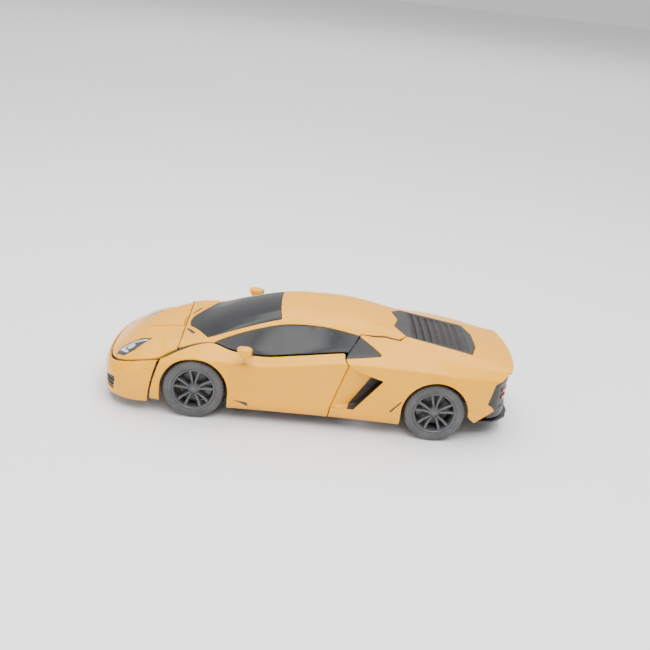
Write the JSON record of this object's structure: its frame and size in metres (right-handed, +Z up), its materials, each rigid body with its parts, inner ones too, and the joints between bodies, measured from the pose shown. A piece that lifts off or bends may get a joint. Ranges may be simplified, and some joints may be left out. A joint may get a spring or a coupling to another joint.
{
  "type": "transforming robot car",
  "caption": "Toy wedge sports car that stands up on its tail as a robot: doors swing out as arms, hood opens, head rises, front wheels steer.",
  "frame": {"origin": "on the floor under the middle of the bounding box, car form", "axes": "+X forward, +Y to the car's left, +Z up"},
  "size_m": [0.3389, 0.154, 0.0842],
  "materials": {
    "body_yellow": "glossy warm yellow moulding",
    "smoked_glass": "glossy opaque black window moulding",
    "trim_black": "fine textured black plastic",
    "frame_grey": "satin dark grey plastic",
    "rim_grey": "semi-gloss gunmetal plastic",
    "tyre_black": "dull soft rubber",
    "steel": "plain turned steel",
    "lamp_clear": "clear lamp lens",
    "lamp_red": "clear red lamp lens",
    "visor_blue": "glossy blue plastic",
    "robot_red": "semi-gloss dark red plastic",
    "board_green": "green circuit board"
  },
  "bodies": {
    "root": {"drive_housing_lower": "trim_black", "drive_housing_upper": "frame_grey", "drive_motor": "steel", "lift_motor": "steel", "tail_hinge_pin": "steel", "rear_diffuser": "trim_black"},
    "rear_wheels": {"rear_axle": "steel", "rear_tyre_left": "tyre_black", "rear_tyre_right": "tyre_black", "rear_rim_left": "rim_grey", "rear_rim_right": "rim_grey"},
    "legs": {"leg_frame_left": "frame_grey", "leg_frame_right": "frame_grey", "rear_quarter_left": "body_yellow", "rear_quarter_right": "body_yellow", "quarter_window_left": "smoked_glass", "quarter_window_right": "smoked_glass", "intake_scoop_left": "body_yellow", "intake_scoop_right": "body_yellow", "tail_light_left": "lamp_red", "tail_light_right": "lamp_red", "rear_deck": "body_yellow", "engine_cover": "trim_black", "tail_fascia": "trim_black"},
    "torso": {"chassis_tub": "trim_black", "front_subframe": "frame_grey", "roof_shell": "body_yellow", "windshield": "smoked_glass", "side_window_left": "smoked_glass", "side_window_right": "smoked_glass", "battery_pack": "visor_blue", "battery_cover": "trim_black", "circuit_board": "board_green", "speaker": "steel", "steering_motor": "steel"},
    "chest": {"hood": "body_yellow", "front_bumper": "body_yellow", "grille_mesh": "trim_black", "headlight_left": "lamp_clear", "headlight_right": "lamp_clear"},
    "head": {"head_shell": "robot_red", "face_mask": "rim_grey", "eye_visor": "visor_blue", "neck_post": "frame_grey"},
    "arm_left": {"side_panel_left": "body_yellow", "mirror_left": "body_yellow", "arm_frame_left": "frame_grey"},
    "arm_right": {"side_panel_right": "body_yellow", "mirror_right": "body_yellow", "arm_frame_right": "frame_grey"},
    "forearm_left": {"forearm_left": "robot_red"},
    "forearm_right": {"forearm_right": "robot_red"},
    "knuckle_left": {"steering_knuckle_left": "frame_grey"},
    "knuckle_right": {"steering_knuckle_right": "frame_grey"},
    "front_wheel_left": {"front_tyre_left": "tyre_black", "front_rim_left": "rim_grey"},
    "front_wheel_right": {"front_tyre_right": "tyre_black", "front_rim_right": "rim_grey"},
    "tie_rod": {"tie_rod": "frame_grey"},
    "power_switch": {"power_switch": "robot_red"}
  },
  "joints": [
    {"name": "rear_axle_spin", "type": "hinge", "parent": "root", "child": "rear_wheels", "pos_m": [-0.101, 0, 0.0245], "axis": [0, 1, 0], "continuous": true},
    {"name": "stand_up", "type": "hinge", "parent": "root", "child": "legs", "pos_m": [-0.149, 0, 0.038], "axis": [0, -1, 0], "range_deg": [0, 90]},
    {"name": "leg_extend", "type": "slide", "parent": "legs", "child": "torso", "axis": [1, 0, 0], "range_m": [0, 0.03]},
    {"name": "chest_open", "type": "hinge", "parent": "torso", "child": "chest", "pos_m": [0.092, 0, 0.049], "axis": [0, -1, 0], "range_deg": [0, 45]},
    {"name": "head_rise", "type": "slide", "parent": "torso", "child": "head", "axis": [1, 0, 0], "range_m": [0, 0.038]},
    {"name": "arm_left_swing", "type": "hinge", "parent": "torso", "child": "arm_left", "pos_m": [0.13, 0.058, 0.03], "axis": [0, 0, -1], "range_deg": [0, 27]},
    {"name": "arm_right_swing", "type": "hinge", "parent": "torso", "child": "arm_right", "pos_m": [0.13, -0.058, 0.03], "axis": [0, 0, 1], "range_deg": [0, 27]},
    {"name": "forearm_left_fold", "type": "hinge", "parent": "arm_left", "child": "forearm_left", "pos_m": [-0.012, 0.053, 0.034], "axis": [0, 1, 0], "range_deg": [0, 180]},
    {"name": "forearm_right_fold", "type": "hinge", "parent": "arm_right", "child": "forearm_right", "pos_m": [-0.012, -0.053, 0.034], "axis": [0, 1, 0], "range_deg": [0, 180]},
    {"name": "steer_left", "type": "hinge", "parent": "torso", "child": "knuckle_left", "pos_m": [0.0915, 0.0455, 0.0245], "axis": [0, 0, 1], "range_deg": [-13, 13]},
    {"name": "steer_right", "type": "hinge", "parent": "torso", "child": "knuckle_right", "pos_m": [0.0915, -0.0455, 0.0245], "axis": [0, 0, 1], "range_deg": [-13, 13]},
    {"name": "tie_rod_slide", "type": "slide", "parent": "torso", "child": "tie_rod", "axis": [0, 1, 0], "range_m": [-0.0035, 0.0035]},
    {"name": "front_wheel_left_spin", "type": "hinge", "parent": "knuckle_left", "child": "front_wheel_left", "pos_m": [0.0915, 0.059, 0.0245], "axis": [0, 1, 0], "continuous": true},
    {"name": "front_wheel_right_spin", "type": "hinge", "parent": "knuckle_right", "child": "front_wheel_right", "pos_m": [0.0915, -0.059, 0.0245], "axis": [0, 1, 0], "continuous": true},
    {"name": "power_switch_slide", "type": "slide", "parent": "torso", "child": "power_switch", "axis": [1, 0, 0], "range_m": [0, 0.003]}
  ],
  "couplings": [
    {"joint": "leg_extend", "follows": "stand_up", "m_per_rad": 0.019},
    {"joint": "chest_open", "follows": "stand_up", "ratio": 0.5},
    {"joint": "head_rise", "follows": "stand_up", "m_per_rad": 0.024},
    {"joint": "arm_left_swing", "follows": "stand_up", "ratio": 0.3},
    {"joint": "arm_right_swing", "follows": "stand_up", "ratio": 0.3},
    {"joint": "forearm_left_fold", "follows": "stand_up", "ratio": 2},
    {"joint": "forearm_right_fold", "follows": "stand_up", "ratio": 2},
    {"joint": "steer_right", "follows": "steer_left", "ratio": 1},
    {"joint": "tie_rod_slide", "follows": "steer_left", "m_per_rad": -0.015}
  ]
}
